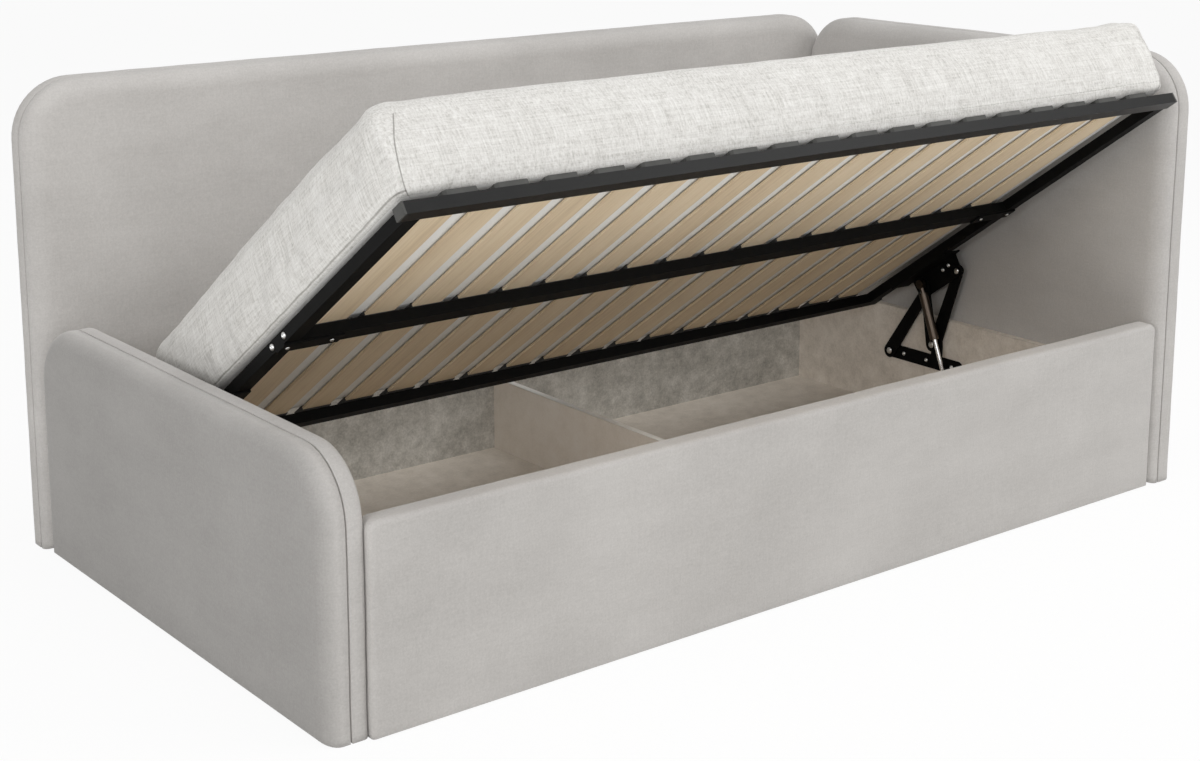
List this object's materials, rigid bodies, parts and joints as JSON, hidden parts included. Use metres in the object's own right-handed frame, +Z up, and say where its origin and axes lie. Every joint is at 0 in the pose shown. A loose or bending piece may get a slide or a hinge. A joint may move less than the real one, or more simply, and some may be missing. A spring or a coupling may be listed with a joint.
{
  "type": "storage bed",
  "caption": "Upholstered storage daybed whose slatted platform and mattress lift sideways on links and gas springs over a divided box.",
  "frame": {"origin": "on the floor, midway along the bed and midway between its front face and its back face", "axes": "+X along the bed towards its tall end, +Y from the open front to the back panel, +Z up"},
  "size_m": [2.16, 1.2453, 1.0228],
  "materials": {
    "upholstery": "light grey velvet over foam",
    "ticking": "off-white woven mattress cover",
    "slat_wood": "bare plywood slats",
    "core_board": "raw chipboard",
    "box_board": "beige board with a fine fleck",
    "holder_plastic": "matte black plastic",
    "bright_rod": "polished rod",
    "zinc_steel": "zinc-plated steel",
    "black_metal": "black powder coat"
  },
  "bodies": {
    "box": {"back_core": "core_board", "back_inner_pad": "upholstery", "back_outer_pad": "upholstery", "back_wall": "box_board", "base_bracket_left": "black_metal", "base_bracket_right": "black_metal", "corner_angles": "zinc_steel", "divider": "box_board", "foot_core": "core_board", "foot_inner_pad": "upholstery", "foot_outer_pad": "upholstery", "front_core": "core_board", "front_pad": "upholstery", "front_rest": "core_board", "head_core": "core_board", "head_inner_pad": "upholstery", "head_outer_pad": "upholstery", "left_bottom": "box_board", "left_wall": "box_board", "right_bottom": "box_board", "right_wall": "box_board"},
    "platform": {"back_holders": "holder_plastic", "back_rail": "black_metal", "beam_plates": "black_metal", "centre_beam": "black_metal", "centre_holders": "holder_plastic", "front_holders": "holder_plastic", "front_rail": "black_metal", "left_end_rail": "black_metal", "mattress": "ticking", "rail_caps": "holder_plastic", "right_end_rail": "black_metal", "slat_01": "slat_wood", "slat_02": "slat_wood", "slat_03": "slat_wood", "slat_04": "slat_wood", "slat_05": "slat_wood", "slat_06": "slat_wood", "slat_07": "slat_wood", "slat_08": "slat_wood", "slat_09": "slat_wood", "slat_10": "slat_wood", "slat_11": "slat_wood", "slat_12": "slat_wood", "slat_13": "slat_wood", "slat_14": "slat_wood", "slat_15": "slat_wood", "slat_16": "slat_wood", "slat_17": "slat_wood", "slat_18": "slat_wood", "upper_bracket_left": "black_metal", "upper_bracket_right": "black_metal"},
    "front_link_left": {"front_link_left": "black_metal"},
    "front_link_right": {"front_link_right": "black_metal"},
    "gas_cylinder_left": {"gas_cylinder_left": "black_metal"},
    "gas_cylinder_right": {"gas_cylinder_right": "black_metal"},
    "gas_rod_left": {"gas_rod_left": "bright_rod"},
    "gas_rod_right": {"gas_rod_right": "bright_rod"},
    "rear_link_left": {"rear_link_left": "black_metal"},
    "rear_link_right": {"rear_link_right": "black_metal"}
  },
  "joints": [
    {"name": "lift", "type": "hinge", "parent": "box", "child": "front_link_right", "pos_m": [0.9752, 0.02021, 0.1964], "axis": [1, 0, 0], "range_deg": [-101.91, 0]},
    {"name": "platform_pivot", "type": "hinge", "parent": "front_link_right", "child": "platform", "pos_m": [0.9752, -0.04711, 0.39149], "axis": [1, 0, 0], "range_deg": [0, 137.4]},
    {"name": "lift_left", "type": "hinge", "parent": "box", "child": "front_link_left", "pos_m": [-0.9752, 0.02021, 0.1964], "axis": [1, 0, 0], "range_deg": [-102, 0]},
    {"name": "rear_right", "type": "hinge", "parent": "box", "child": "rear_link_right", "pos_m": [0.9752, 0.16844, 0.14807], "axis": [1, 0, 0], "range_deg": [-101.6, 0]},
    {"name": "spring_turn_right", "type": "hinge", "parent": "box", "child": "gas_rod_right", "pos_m": [0.9491, -0.047, 0.1], "axis": [1, 0, 0], "range_deg": [-58.1, 0]},
    {"name": "spring_stroke_right", "type": "slide", "parent": "gas_rod_right", "child": "gas_cylinder_right", "axis": [0, 0.3657, 0.9307], "range_m": [-0.053, 0]},
    {"name": "rear_left", "type": "hinge", "parent": "box", "child": "rear_link_left", "pos_m": [-0.9752, 0.16844, 0.14807], "axis": [1, 0, 0], "range_deg": [-101.6, 0]},
    {"name": "spring_turn_left", "type": "hinge", "parent": "box", "child": "gas_rod_left", "pos_m": [-0.9491, -0.047, 0.1], "axis": [1, 0, 0], "range_deg": [-58.1, 0]},
    {"name": "spring_stroke_left", "type": "slide", "parent": "gas_rod_left", "child": "gas_cylinder_left", "axis": [0, 0.3657, 0.9307], "range_m": [-0.053, 0]}
  ],
  "couplings": [
    {"joint": "platform_pivot", "follows": "lift", "ratio": -1.3474},
    {"joint": "lift_left", "follows": "lift", "ratio": 1},
    {"joint": "rear_right", "follows": "lift", "ratio": 0.99573},
    {"joint": "spring_turn_right", "follows": "lift", "ratio": 0.56954},
    {"joint": "spring_stroke_right", "follows": "lift", "m_per_rad": 0.029729},
    {"joint": "rear_left", "follows": "lift", "ratio": 0.99573},
    {"joint": "spring_turn_left", "follows": "lift", "ratio": 0.56954},
    {"joint": "spring_stroke_left", "follows": "lift", "m_per_rad": 0.029729}
  ]
}
